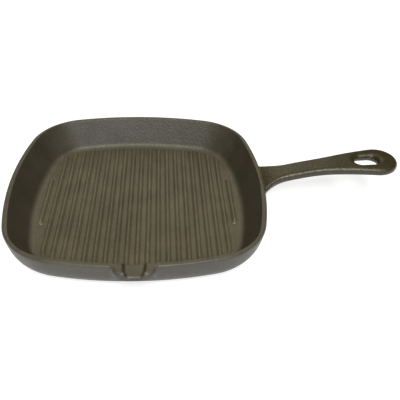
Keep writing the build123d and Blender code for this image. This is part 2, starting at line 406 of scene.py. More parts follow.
def rounded_edge(top, lip_weight):
    """The section of the edge at each station, as offsets outward and heights.

    The rim's edge follows the long arc and the small rounding. The lip's goes round its
    lower corner, up its face and round its upper corner. full is 1 at whole height and
    0 over the channel's floor, where the lower corner is deeper and rounder and the
    upper one tighter.
    """
    wall_z = linspace(HEIGHT - EDGE_BAND, edge_low, LOW_RINGS + FACE_RINGS)
    wall_e = wall_half(wall_z) - RIM_HALF
    angle = linspace(edge_start, pi / 2, HIGH_RINGS + 1)[1:]
    plain_e = np.concatenate([wall_e, edge_x - RIM_HALF + RIM_ROUND * cos(angle)])
    plain_z = np.concatenate([wall_z, HEIGHT - RIM_ROUND + RIM_ROUND * sin(angle)])
    full = ((top - (HEIGHT - CHANNEL_DEPTH)) / CHANNEL_DEPTH)[:, None]
    under = LOW_ROUND - ROUND_GAIN * full
    over = HIGH_ROUND + ROUND_GAIN * full
    corner_z = HEIGHT - LIP_THICK + THICK_LOSS * full + under * tan(SHELF_SLOPE)
    down = linspace(SHELF_START, 0, LOW_RINGS)
    stand = linspace(0, 1, FACE_RINGS + 1)[1:]
    up = linspace(0, pi / 2, HIGH_RINGS + 1)[1:]
    over_z = top[:, None] - over
    lip_e = np.concatenate([-under + under * cos(down), np.zeros((len(top), FACE_RINGS)),
                            -over + over * cos(up)], axis=1)
    lip_z = np.concatenate([corner_z + under * sin(down),
                            corner_z + (over_z - corner_z) * stand,
                            over_z + over * sin(up)], axis=1)
    weight = lip_weight[:, None]
    return plain_e + (lip_e - plain_e) * weight, plain_z + (lip_z - plain_z) * weight


edge_e, edge_z = rounded_edge(edge_top, lip_weight)
print("edge rings:", edge_e.shape[1])

# %% [markdown]
# ## The inner wall
# The inner wall is ruled: straight lines join the mouth's outline to the floor's, and
# the corners get a little tighter on the way down. Its foot is a round fillet, and a
# small rounding breaks the edge between land and inner wall.

# %% Inner section
LAND, WELL_HALF, FLOOR_Z, FOOT_ROUND = 5.2, 109.7, 5.4, 8.0
WELL_CORNER, MOUTH_CORNER = 43.0, 48.5
MOUTH_HALF = RIM_HALF - LAND
lean = np.arctan2(MOUTH_HALF - WELL_HALF, HEIGHT - FLOOR_Z)
FLAT_HALF = WELL_HALF - FOOT_ROUND * tan((pi / 2 - lean) / 2)


def inner_corner(z):
    """The inner wall's corner radius at a height."""
    return WELL_CORNER + (MOUTH_CORNER - WELL_CORNER) * ((z - FLOOR_Z) / (HEIGHT - FLOOR_Z))


def inner_ring(z):
    """A ring of the inner wall at a height, which may differ from station to station."""
    half = WELL_HALF + (MOUTH_HALF - WELL_HALF) * ((z - FLOOR_Z) / (HEIGHT - FLOOR_Z))
    return ring(half, inner_corner(z), RIM_SIDE - (RIM_HALF - half))


foot_top = FLOOR_Z + FOOT_ROUND * (1 - sin(lean))
mouth_line, _ = inner_ring(HEIGHT)
inner_top = top_height(mouth_line[:, 0], mouth_line[:, 1], mouth_line[:, 1] < FRONT_INSIDE)
inner_line, inner_out = inner_ring(inner_top)
print(f"floor flat to {FLAT_HALF:.1f} mm; the foot's round ends at z {foot_top:.1f}")

# %% [markdown]
# ## Stack the rings
# The rings are stacked as a finger would run over the pan, from the middle of the base
# to the middle of the floor, and each stretch gets as many as its curve needs.

# %% Base, heel, outer wall and edge
BASE_SHARES = (0.08, 0.35, 0.65, 0.9)
HEEL_RINGS, SWELL_RINGS = 19, 9
LIP_FOOT_Z, LIP_FOOT_RISE, LIP_FOOT_HALF = 17.5, 7.0, 21.0
SWELL_POWER = 1.25


def raised(points, z):
    """Plan points lifted to a height, or to one height for each point."""
    return np.column_stack([points, np.broadcast_to(z, (len(points),))])


def outside_rings():
    """Rings from the middle of the base to the top of the edge.

    The heel's rings turn about its centre up to the lip's foot, whose height grows with
    the square of the distance from the lip's middle. Above it each ring is the wall's,
    moved out by the lip's stand-off times a power of the share of the way up.
    """
    base_points = rim_ring(heel_x)[0]
    rings = [raised(base_points * share, 0.0) for share in BASE_SHARES]
    aside = np.full(stations, LIP_FOOT_HALF)
    aside[front] = abs(front_x)
    lip_foot = LIP_FOOT_Z + LIP_FOOT_RISE * clip(aside / LIP_FOOT_HALF, 0, 1) ** 2
    foot_angle = np.arcsin(lip_foot / HEEL - 1)
    for share in linspace(0, 1, HEEL_RINGS):
        z = HEEL + HEEL * sin((foot_angle + pi / 2) * share - pi / 2)
        rings.append(raised(rim_ring(outer_half(z))[0], z))
    edge_foot = edge_line + edge_out * edge_e[:, :1]
    stand_off = edge_foot - rim_ring(outer_half(edge_z[:, 0]))[0]
    for share in linspace(0, 1, SWELL_RINGS + 2)[1:-1]:
        z = lip_foot + (edge_z[:, 0] - lip_foot) * share
        rings.append(raised(rim_ring(outer_half(z))[0] + stand_off * share**SWELL_POWER, z))
    for k in range(edge_e.shape[1]):
        rings.append(raised(edge_line + edge_out * edge_e[:, k:k + 1], edge_z[:, k]))
    return rings


rings = outside_rings()
print("rings outside:", len(rings))

# %% Land and the small rounding inside it
LAND_RINGS, BREAK_RINGS = 8, 5
BREAK_ROUND, CHANNEL_ZONE = 0.8, 25


def land_rings(outer):
    """Rings from the edge's top ring across the land and over the small rounding.

    The rounding mixes its start, the sharp corner and its end with the weights
    (1 - q) squared, 2 q (1 - q) and q squared.
    """
    cut = BREAK_ROUND / tan((pi / 2 + lean) / 2)
    start = inner_line + inner_out * cut
    rings = []
    for share in linspace(0, 1, LAND_RINGS + 1)[1:]:
        points = outer[:, :2] + (start - outer[:, :2]) * share
        low = (outer[:, 1] < FRONT_OUTSIDE) & (abs(points[:, 0]) < CHANNEL_ZONE)
        rings.append(raised(points, top_height(points[:, 0], points[:, 1], low)))
    land_z = rings[-1][:, 2]
    below_z = land_z - cut * cos(lean)
    below = inner_ring(below_z)[0]
    for q in linspace(0, 1, BREAK_RINGS + 1)[1:]:
        a, b, c = (1 - q) ** 2, 2 * q * (1 - q), q * q
        rings.append(raised(a * start + b * inner_line + c * below,
                            a * land_z + b * inner_top + c * below_z))
    return rings


rings += land_rings(rings[-1])
print("rings with the land:", len(rings))

# %% Inner wall and floor
WALL_RINGS, FOOT_RINGS = 14, 13
FLOOR_SHARES = (0.93, 0.8, 0.6, 0.35, 0.08)


def inside_rings(wall_top):
    """Rings down the inner wall, round its foot and in to the floor's middle.

    Round the foot the ring's half width is the flat's plus the radius times a cosine,
    and its corner shrinks by as much as the half width does.
    """
    rings = []
    for share in linspace(0, 1, WALL_RINGS + 1)[1:]:
        z = wall_top + (foot_top - wall_top) * share
        rings.append(raised(inner_ring(z)[0], z))
    foot_half = FLAT_HALF + FOOT_ROUND * cos(lean)
    foot_corner = inner_corner(foot_top)
    for angle in linspace(-lean, -pi / 2, FOOT_RINGS + 1)[1:]:
        half = FLAT_HALF + FOOT_ROUND * cos(angle)
        points = ring(half, foot_corner - (foot_half - half), RIM_SIDE - (RIM_HALF - half))[0]
        rings.append(raised(points, FLOOR_Z + FOOT_ROUND * (1 + sin(angle))))
    return rings + [raised(points * share, FLOOR_Z) for share in FLOOR_SHARES]


rings += inside_rings(rings[-1][:, 2])
print("all rings:", len(rings))

# %% [markdown]
# ## From points to a mesh
# A grid of points needs only a rule that says which four make a face. Numpy writes the
# rule for all faces at once. Going round a ring and then up gives faces that look
# outwards, and a closed ring joins its last station to the first.

# %% Mesh helpers
def grid_faces(rows, columns, closed=False, first=0):
    """Four corner numbers for every cell of a grid, row by row."""
    row = np.arange(rows - 1)[:, None]
    column = np.arange(columns if closed else columns - 1)[None, :]
    after = (column + 1) % columns
    corners = [row * columns + column, row * columns + after,
               (row + 1) * columns + after, (row + 1) * columns + column]
    return first + np.stack([np.broadcast_to(c, (rows - 1, column.size)) for c in corners],
                            axis=-1).reshape(-1, 4)


def iron_piece(name, points, faces, stands_for):
    """A smooth mesh from points in millimetres, riding on the pan's one body."""
    mesh = bpy.data.meshes.new(name)
    mesh.from_pydata((np.asarray(points) * MM).tolist(), [], faces)
    mesh.validate()
    mesh.polygons.foreach_set("use_smooth", [True] * len(mesh.polygons))
    mesh.update()
    piece = put_in_scene(name, mesh)
    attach(piece, "root")
    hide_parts(*stands_for)
    return piece


# %% Make the body
def close_with_poles(rings):
    """Points and faces of stacked rings, with a fan to a middle point at each end."""
    poles = [[0.0, 0.0, rings[0][0, 2]], [0.0, 0.0, rings[-1][0, 2]]]
    points = np.concatenate([*rings, poles])
    faces = grid_faces(len(rings), stations, closed=True).tolist()
    here = np.arange(stations)
    after = np.roll(here, -1)
    last = (len(rings) - 1) * stations
    bottom = len(rings) * stations
    for pole, second, third in ((bottom, after, here), (bottom + 1, last + here, last + after)):
        faces += np.stack([np.full(stations, pole), second, third], -1).tolist()
    return points, faces


body_points, body_faces = close_with_poles(rings)
pan_body = iron_piece("pan_body", body_points, body_faces,
                      ["pan_floor", "side_wall", "pour_spout"])
print("pan_body:", len(body_points), "points,", len(body_faces), "faces")

# %% [markdown]
# ## The ribs
# Cast ribs have sloping flanks so that the pattern leaves the sand, a rounded crest and
# a soft foot. One rule shapes flanks and ends alike: the height above the floor depends
# only on how far a point lies inside the foot line. The long ribs end along the wall,
# and the two short ones beside the walls have round ends.

# %% The height of a rib
RIB_HEIGHT, RIB_FOOT, RIB_CREST = 4.0, 2.8, 1.35
RIB_STEEPNESS = RIB_HEIGHT / (RIB_FOOT - RIB_CREST)
FOOT_SOFT, CREST_SOFT, SOFT_LOSS = 0.6, 1.6**2, 0.2
# beyond its foot the sheet sinks: how steeply, from where, how softly
SINK_SLOPE, SINK_FROM, SINK_SOFT = 0.35, 0.7, 0.2


def softly_capped(value, cap, softness):
    """The smaller of value and cap, rounded off where they meet.

    Half of their sum, less half of the root of their difference squared plus softness.
    """
    return (value + cap - sqrt((value - cap) ** 2 + softness)) / 2


def rib_height(inside):
    """Height for a distance inside the foot line: a ramp, softly cut off at the crest.

    The ramp is set lower and the cap higher by what the soft bends change.
    """
    ramp = RIB_STEEPNESS * soft_ramp(inside, FOOT_SOFT) - SOFT_LOSS
    height = softly_capped(ramp, RIB_HEIGHT + SOFT_LOSS, CREST_SOFT)
    return height - SINK_SLOPE * soft_ramp(-inside - SINK_FROM, SINK_SOFT)


print(f"height over a rib's middle line: {rib_height(RIB_FOOT):.2f}")

# %% Where the rib field ends
FIELD_HALF, FIELD_CORNER = 103.24, 36.5
FIELD_SIDE = RIM_SIDE - (RIM_HALF - FIELD_HALF)
STEEPEST = 0.98


def field_end(x):
    """How far from the middle the rib field ends at a place across the pan.

    Also gives the slope of the end line there: how far across the place lies from its
    arc's centre, over how far along.
    """
    side_centre, corner_centre, turn = corner_of(FIELD_HALF, FIELD_CORNER, FIELD_SIDE)
    wide = abs(x)
    bend = FIELD_SIDE * sin(turn)
    past = wide - corner_centre
    on_side = side_centre + sqrt(FIELD_SIDE**2 - np.minimum(wide, bend) ** 2)
    in_corner = corner_centre + sqrt(FIELD_CORNER**2 - clip(past, 0, FIELD_CORNER) ** 2)
    run = clip(past, 0, STEEPEST * FIELD_CORNER)
    slope = np.where(wide < bend, wide / sqrt(FIELD_SIDE**2 - wide**2),
                     run / sqrt(FIELD_CORNER**2 - run**2))
    return np.where(wide < bend, on_side, in_corner), slope


def closed_sheet(top, under_z):
    """Points and faces of a height grid, closed by a skirt and one flat face below."""
    rows, columns = top.shape[:2]
    points = top.reshape(-1, 3)
    number = np.arange(rows * columns).reshape(rows, columns)
    border = np.concatenate([number[0, :], number[1:, -1], number[-1, -2::-1],
                             number[-2:0:-1, 0]])
    skirt = points[border].copy()
    skirt[:, 2] = under_z
    hem = len(points) + np.arange(len(border))
    faces = grid_faces(rows, columns).tolist()
    faces += np.stack([border, hem, np.roll(hem, -1), np.roll(border, -1)], -1).tolist()
    faces.append(hem[::-1].tolist())
    return np.concatenate([points, skirt]), faces


# from, to and how many: close on the flanks, wider elsewhere
ACROSS = ((-4.1, -2.7, 6), (-2.5, -1.7, 4), (-1.5, 1.5, 11), (1.7, 2.5, 4), (2.7, 4.1, 6))
across_rib = np.concatenate([linspace(*part) for part in ACROSS])
print("points across a rib:", len(across_rib))

# %% Make the ribs
RIB_COUNT, RIB_PITCH, SHORT_RIB_HALF, RIB_ROOT = 21, 9.864, 38.0, 1.5
CORNER_SOFT, CORNER_ZONE = 0.5, 4
# marks inwards from a long rib's end, and the steps between its rows
END_MARKS, END_STEPS, PLAIN_STEPS = [-1.4, 3.4, 7.0], [0.3, 0.6], 12
BEYOND_FOOT, SHORT_STEPS = 1.3, [4.0, 0.3]


def long_rib(middle):
    """A height grid: columns across the rib, rows that follow the field's end line.

    A point lies inside the foot line by the smaller of its distances from the rib's
    end and side. The distance from the end is measured square to its sloping line.
    """
    x = middle + across_rib[None, :]
    end, slope = field_end(x)
    half = end - spaced(END_MARKS, END_STEPS)[:, None]
    inner = half[-1:] * (1 - linspace(0, 1, PLAIN_STEPS)[1:-1, None])
    y = np.concatenate([-half, -inner, np.zeros_like(x), inner[::-1], half[::-1]])
    from_end = (end - abs(y)) / sqrt(1 + slope**2)
    from_side = np.broadcast_to(RIB_FOOT - abs(across_rib), y.shape)
    inside = np.where(from_end - from_side > CORNER_ZONE, from_side,
                      softly_capped(from_end, from_side, CORNER_SOFT))
    return np.stack([np.broadcast_to(x, y.shape), y, FLOOR_Z + rib_height(inside)], -1)


def short_rib(middle):
    """A height grid whose distance to the foot line is taken from a straight core."""
    core = SHORT_RIB_HALF - RIB_FOOT
    reach = spaced([0, core - 1, SHORT_RIB_HALF + BEYOND_FOOT], SHORT_STEPS)
    y = np.concatenate([-reach[:0:-1], reach])[:, None]
    beyond = np.maximum(abs(y) - core, 0)
    inside = RIB_FOOT - hypot(across_rib[None, :], beyond)
    x = np.broadcast_to(middle + across_rib[None, :], inside.shape)
    return np.stack([x, np.broadcast_to(y, inside.shape), FLOOR_Z + rib_height(inside)], -1)


ribs = []
for number in range(1, RIB_COUNT + 1):
    middle = (number - (RIB_COUNT + 1) / 2) * RIB_PITCH
    top = short_rib(middle) if number in (1, RIB_COUNT) else long_rib(middle)
    points, faces = closed_sheet(top, FLOOR_Z - RIB_ROOT)
    ribs.append(iron_piece(f"iron_rib_{number:02d}", points, faces, [f"grill_rib_{number:02d}"]))
print("ribs:", len(ribs), "with", sum(len(r.data.polygons) for r in ribs), "faces")

# %% [markdown]
# ## The handle
# The handle is a rounded band that arches up and outwards, waisted near the pan and
# broad at its round end. Skinning loops of points would do, but its outline from above
# and its two arches are known, so each point's height follows from its place: the arch,
# less a crown across, less the edge's rounding.

# %% The handle's arches
APEX_X, APEX_Z, ARCH, ROOT_ARCH = 264.7, 56.8, 435.0, 50.0
THICK, CROWN = 9.4, 400.0
JOIN_X = 146.0
join_angle = np.arcsin((APEX_X - JOIN_X) / ARCH)
ARCH_Z = APEX_Z - ARCH
root_arch_x = JOIN_X + ROOT_ARCH * sin(join_angle)
root_arch_z = ARCH_Z + (ARCH - ROOT_ARCH) * cos(join_angle)


def arch_height(x, offset):
    """Height of a line that keeps an offset from the handle's middle line."""
    long, short = ARCH + offset, ROOT_ARCH + offset
    join = APEX_X - long * sin(join_angle)
    far = ARCH_Z + sqrt(long**2 - (x - APEX_X) ** 2)
    near = root_arch_z + sqrt(np.maximum(short**2 - (x - root_arch_x) ** 2, 1.0))
    return np.where(x > join, far, near)


print(f"the handle's root arch is centred at {root_arch_x:.1f} {root_arch_z:.1f}")

# %% Top and underside, run into the pan
TOP_FILLET, UNDER_FILLET = 1.3, 2.0
RIM_FALL, WALL_CLIMB = 6, 3.7
# a hair's breadth keeps the handle's skin inside the pan's where both run on
TOP_HAIR, UNDER_HAIR = 0.02, 0.04


def soft_larger(a, b, reach):
    """The larger of two heights, with a fillet where they are closer than reach."""
    mix = clip(0.5 + 0.5 * (a - b) / reach, 0, 1)
    return b + (a - b) * mix + reach * mix * (1 - mix)


def from_rim(x, y):
    """How far out a place lies, counted as the half width of a ring through it."""
    return hypot(x - rim_side_centre, y) + rim_side_centre


def handle_top(x, y, drop):
    """Top of the handle: arch less crown and rounding, run smoothly into the land.

    Beyond its own rounding the rim is taken to fall away steeply.
    """
    crown = CROWN - sqrt(CROWN**2 - y**2)
    own = arch_height(x, THICK / 2 - crown) - drop
    past = from_rim(x, y) - edge_x
    rounding = sqrt(RIM_ROUND**2 - clip(past, 0, RIM_ROUND) ** 2)
    rim = HEIGHT - RIM_ROUND + rounding - RIM_FALL * np.maximum(past - RIM_ROUND, 0)
    return soft_larger(own, rim, TOP_FILLET) - TOP_HAIR


def handle_under(x, y, rise):
    """Underside of the handle: the lower arch, run smoothly into the outer wall."""
    own = arch_height(x, -THICK / 2) + rise
    out = from_rim(x, y)
    beyond = np.maximum(out - out_table[-1], 0)
    wall = np.interp(out, out_table, level_table) + WALL_CLIMB * beyond
    return -soft_larger(-own, -wall, UNDER_FILLET) + UNDER_HAIR


apex_thick = handle_top(APEX_X, 0.0, 0.0) - handle_under(APEX_X, 0.0, 0.0)
print(f"thickness at the apex: {apex_thick:.2f}")

# %% The handle's outline
HANDLE_END, TIP_ROUND, NECK_HALF = 269.8, 21.0, 11.5
NECK_X, NECK_HOLLOW = 174.5, 190.0
FLARE_X, FLARE, ROOT_ROUND, ROOT_X = 155.8, 35.8, 9.0, 129.0
ARC_SAMPLES = 200


def handle_outline():
    """Upper half of the outline, from the wall to the tip, with outward directions.

    Hollow root fillet, hollow flare, straight neck, hollow neck arc, straight taper
    and round tip, each tangent to the next, sampled closely by arc length.
    """
    swing = np.arcsin((FLARE_X - ROOT_ROUND - ROOT_X) / (FLARE - ROOT_ROUND))
    fillet = (FLARE_X - (FLARE - ROOT_ROUND) * sin(swing),
              NECK_HALF + FLARE - (FLARE - ROOT_ROUND) * cos(swing))
    tip_x = HANDLE_END - TIP_ROUND
    over, rise = tip_x - NECK_X, NECK_HALF + NECK_HOLLOW
    spread = np.arccos((NECK_HOLLOW + TIP_ROUND) / hypot(over, rise))
    taper = np.arctan2(over, rise) - spread
    parts, facing = [], []

    def arc(centre, radius, start, stop, hollow):
        angle = linspace(start, stop, ARC_SAMPLES)
        parts.append(np.stack([centre[0] + radius * cos(angle),
                               centre[1] + radius * sin(angle)], -1))
        facing.append(angle + (pi if hollow else 0))

    down = -pi / 2
    arc(fillet, ROOT_ROUND, -pi, down - swing, True)
    arc((FLARE_X, NECK_HALF + FLARE), FLARE, down - swing, down, True)
    arc((NECK_X, NECK_HALF + NECK_HOLLOW), NECK_HOLLOW, down, down + taper, True)
    arc((tip_x, 0), TIP_ROUND, pi / 2 + taper, 0, False)
    points, angle = np.concatenate(parts), np.unwrap(np.concatenate(facing))
    length = np.concatenate([[0], np.cumsum(hypot(*np.diff(points, axis=0).T))])
    return points, angle, length


outline_points, outline_facing, outline_length = handle_outline()
total = float(outline_length[-1])
print(f"the outline's half is {total:.1f} mm long")

# %% [markdown]
# The surface is laid out in strips: one strip runs round the whole outline over the
# rounded edge, one round the slot's mouth, and fields above and below fill the space
# between. The slot narrows a little towards the underside. Points that strips share
# are merged afterwards.

# %% Stations along the handle
WAIST_X = 214.0
NECK_MARKS, NECK_STEPS, TIP_STEPS = (0, 16, 45), [0.8, 1.6, 3.0], 40


def on_outline(length):
    """Point and outward direction of the outline at an arc length from the wall."""
    point = np.stack([np.interp(length, outline_length, outline_points[:, k])
                      for k in (0, 1)], -1)
    angle = np.interp(length, outline_length, outline_facing)
    return point, np.stack([cos(angle), sin(angle)], -1)


after_fillet = slice(ARC_SAMPLES, None)
waist = float(np.interp(WAIST_X, outline_points[after_fillet, 0],
                        outline_length[after_fillet]))
neck_steps = spaced([*NECK_MARKS, waist], NECK_STEPS)
tip_steps = linspace(waist, total, TIP_STEPS + 1)[1:]
half_point, half_out = on_outline(np.concatenate([neck_steps, tip_steps]))
mirror = np.array([1.0, -1.0])
loop_point = np.concatenate([half_point, half_point[-2::-1] * mirror])
loop_out = np.concatenate([half_out, half_out[-2::-1] * mirror])
NECK, LOOP = len(neck_steps), len(loop_point)
print("stations round the handle:", LOOP, "of which on the neck:", 2 * NECK)

# %% The handle's skin
SLIDE_FROM, SLIDE_LENGTH = 150.0, 20.0
ROOT_HIGH, ROOT_LOW, ROOT_SPREAD = HEIGHT - 3, HEIGHT - 14, 27.3
root_lean = outer_half(ROOT_HIGH) - outer_half(ROOT_LOW)


def skin(plan, low, depth=0.0):
    """Points of the handle's skin for places seen from above.

    low goes from 0 on top to 1 below. depth is how far the edge's rounding has sunk
    from the face. Near the root the lower points slide inwards with the leaning wall,
    and all of them follow the bulge of the pan's side: half of the spread squared less
    y squared, over the side's radius.
    """
    x, y = plan[..., 0], plan[..., 1]
    slide = eased((SLIDE_FROM - x) / SLIDE_LENGTH)
    bulge = slide * np.maximum(ROOT_SPREAD**2 - y**2, 0) / (2 * RIM_SIDE)
    x = x - slide * low * root_lean + bulge
    top, under = handle_top(x, y, depth), handle_under(x, y, depth)
    return np.stack([x, y, top + (under - top) * low], -1)


print(f"the root's underside lies {root_lean:.2f} mm further in than its top")

# %% Edges of the handle and of its slot
EDGE_ROUND, EDGE_STEPS = 4.13, 9
EYE_X, EYE_HALF_LENGTH, EYE_HALF_WIDTH = 237.6, 13.5, 8.2
EYE_ROUND, EYE_STEPS = 4.5, 10
EYE_NARROWING = (0.2, 0.16)
EYE_MIDDLE = np.array([EYE_X, 0.0])
# how much of the narrowing each rounding takes, and the wall between them
ROUNDING_SHARE, BETWEEN_START, BETWEEN_GAIN = 0.45, 0.4, 0.3
NECK_FACING = 0.9


def narrowed(points, narrowing, share):
    """Points drawn in to the slot's middle by a share of what it loses on its way down."""
    return EYE_MIDDLE + (points - EYE_MIDDLE) * (1 - np.array(narrowing) * share)


def edge_strip(points, outward, radius, turn_steps, inward, narrowing=(0.0, 0.0)):
    """Rings over a rounded edge, from the top's tangent line to the underside's.

    A ring's offset from the outline is the radius times one less the turn's sine, and
    it has sunk by the radius times one less the cosine. inward is 1 for an outer
    outline and -1 for a hole. narrowing is the share of its length and width that a
    hole loses on its way down.
    """
    turn = linspace(0, pi / 2, turn_steps)
    spread = ROUNDING_SHARE * turn / turn[-1]

    def ring_at(share, angle, low):
        offset = outward * inward * radius * (1 - sin(angle))
        return skin(narrowed(points, narrowing, share) - offset, low,
                    radius * (1 - cos(angle)))

    rows = [ring_at(share, angle, 0.0) for share, angle in zip(spread, turn)]
    rows += [ring_at(BETWEEN_START + BETWEEN_GAIN * low, turn[-1], low) for low in (1 / 3, 2 / 3)]
    rows += [ring_at(1 - share, angle, 1.0) for share, angle in zip(spread[::-1], turn[::-1])]
    return np.stack(rows)


def eye_outline(count_tip, count_neck):
    """The slot's outline, with as many stations as the loop round it.

    Distances run round the slot from the middle of its end that faces the neck. That
    end's stations cover nine tenths of a quarter circle to each side, the tip's take
    the rest, and both are even.
    """
    straight = EYE_HALF_LENGTH - EYE_HALF_WIDTH
    quarter = EYE_HALF_WIDTH * pi / 2
    whole = 4 * straight + 4 * quarter
    start = quarter * NECK_FACING
    at = np.concatenate([linspace(start, whole - start, count_tip)[:-1],
                         linspace(whole - start, whole + start, count_neck)[:-1]]) % whole
    marks = np.cumsum([0, quarter, 2 * straight, 2 * quarter, 2 * straight, quarter])
    angle = np.interp(at, marks, pi * np.array([1, 0.5, 0.5, -0.5, -0.5, -1]))
    middle = np.interp(at, marks, straight * np.array([-1, -1, 1, 1, -1, -1]))
    outward = np.stack([cos(angle), sin(angle)], -1)
    centre = np.stack([EYE_X + middle, np.zeros_like(middle)], -1)
    return centre + outward * EYE_HALF_WIDTH, outward


handle_edge = edge_strip(loop_point, loop_out, EDGE_ROUND, EDGE_STEPS, 1.0)
print("rings over the handle's edge:", len(handle_edge))

# %% Strips and fields of the handle
NECK_COLUMNS, FIELD_ROWS = 15, 7
MERGE_WITHIN = 2e-6


def handle_grids():
    """All strips and fields of the handle as grids of points, and the loop at its root.

    The neck's field joins left and right points by straight lines. The field round the
    slot joins its mouth to the same number of points on the edge's inner line.
    """
    inner_plan = loop_point - loop_out * EDGE_ROUND
    left, right = inner_plan[:NECK, None], inner_plan[LOOP - NECK:][::-1][:, None]
    neck_plan = left + (right - left) * linspace(0, 1, NECK_COLUMNS)[None, :, None]
    around = np.concatenate([inner_plan[NECK - 1:LOOP - NECK + 1], neck_plan[-1, ::-1][1:-1]])
    eye_points, eye_out = eye_outline(LOOP - 2 * NECK + 2, NECK_COLUMNS)
    mouth = edge_strip(eye_points, eye_out, EYE_ROUND, EYE_STEPS, -1.0, EYE_NARROWING)
    grids = [handle_edge, np.concatenate([mouth, mouth[:, :1]], axis=1)]
    step = linspace(0, 1, FIELD_ROWS)[:, None, None]
    for low in (0.0, 1.0):
        mouth_plan = narrowed(eye_points, EYE_NARROWING, low) + eye_out * EYE_ROUND
        ring_plan = around[None] + (mouth_plan - around)[None] * step
        ring_plan = np.concatenate([ring_plan, ring_plan[:, :1]], axis=1)
        grids += [skin(neck_plan, low), skin(ring_plan, low)]
    root_loop = np.concatenate([skin(neck_plan[0], 0.0), handle_edge[1:, -1],
                                skin(neck_plan[0], 1.0)[::-1][1:],
                                handle_edge[1:-1, 0][::-1]])
    return grids, root_loop


def joined(grids, loop):
    """Points and faces of several grids and of one many-sided face, as one mesh."""
    points, faces, first = [], [], 0
    for grid in grids:
        rows, columns = grid.shape[:2]
        points.append(grid.reshape(-1, 3))
        faces += grid_faces(rows, columns, first=first).tolist()
        first += rows * columns
    faces.append(list(range(first, first + len(loop))))
    return np.concatenate([*points, loop]), faces


def merge_and_face_out(piece):
    """Merges points that lie on each other, then turns all faces outwards."""
    shape = bmesh.new()
    shape.from_mesh(piece.data)
    before = len(shape.verts)
    bmesh.ops.remove_doubles(shape, verts=shape.verts, dist=MERGE_WITHIN)
    bmesh.ops.recalc_face_normals(shape, faces=shape.faces)
    open_edges = sum(not e.is_manifold for e in shape.edges)
    shape.to_mesh(piece.data)
    print(piece.name, "merged", before - len(shape.verts), "points; open edges:", open_edges)
    shape.free()


handle_points, handle_faces = joined(*handle_grids())
pan_handle = iron_piece("pan_handle", handle_points, handle_faces, ["handle"])
merge_and_face_out(pan_handle)
print("pan_handle:", len(pan_handle.data.polygons), "faces")

# %% [markdown]
# ## Seasoned iron
# Cast iron keeps the grain of the sand it was poured in, and the oil burnt into it
# gives a brown-olive, satin skin. One shader with a fixed colour looks like plastic, so
# colour, gloss and surface all vary: a fine grain for the sand, a coarser mottling for
# the oil, and sparse pits. All of it reads Object coordinates, so that it stays put.
#
# Faces that look down are painted darker, as painted shade, and faces that look up are
# painted lighter, as painted light, which the Z of the Normal output tells. The body, the
# handle, wiped yellower and smoother by hands, and the ribs, painted pale with their
# flanks lighter than their crests as painted light, get the same finish with three settings.

# %% Nodes for the finish
def add_node(tree, kind, place, **values):
    """A node of a kind, with its plain settings and its input values filled in."""
    node = tree.nodes.new("ShaderNode" + kind)
    node.location = place
    for key, value in values.items():
        if key in node.inputs:
            node.inputs[key].default_value = value
        else:
            setattr(node, key, value)
    return node


def colour_ramp(tree, place, stops):
    """A ramp node with the given positions and colours."""
    node = add_node(tree, "ValToRGB", place)
    ramp = node.color_ramp
    while len(ramp.elements) < len(stops):
        ramp.elements.new(0.5)
    for element, (position, colour) in zip(ramp.elements, stops):
        element.position = position
        element.color = (*colour, 1.0)
    return node


def rescaled(tree, place, value, low, high, new_low, new_high):
    """A value's output, carried from one range over to another and held within it."""
    node = add_node(tree, "MapRange", place, **{
        "From Min": low, "From Max": high, "To Min": new_low, "To Max": new_high})
    tree.links.new(value, node.inputs["Value"])
    return node.outputs["Result"]


# %% The iron finish
IRON_COLOURS = [(0.32, (0.036, 0.0305, 0.0205)), (0.50, (0.056, 0.048, 0.033)),
                (0.68, (0.084, 0.073, 0.051))]
GLOSS_RANGE = 0.14


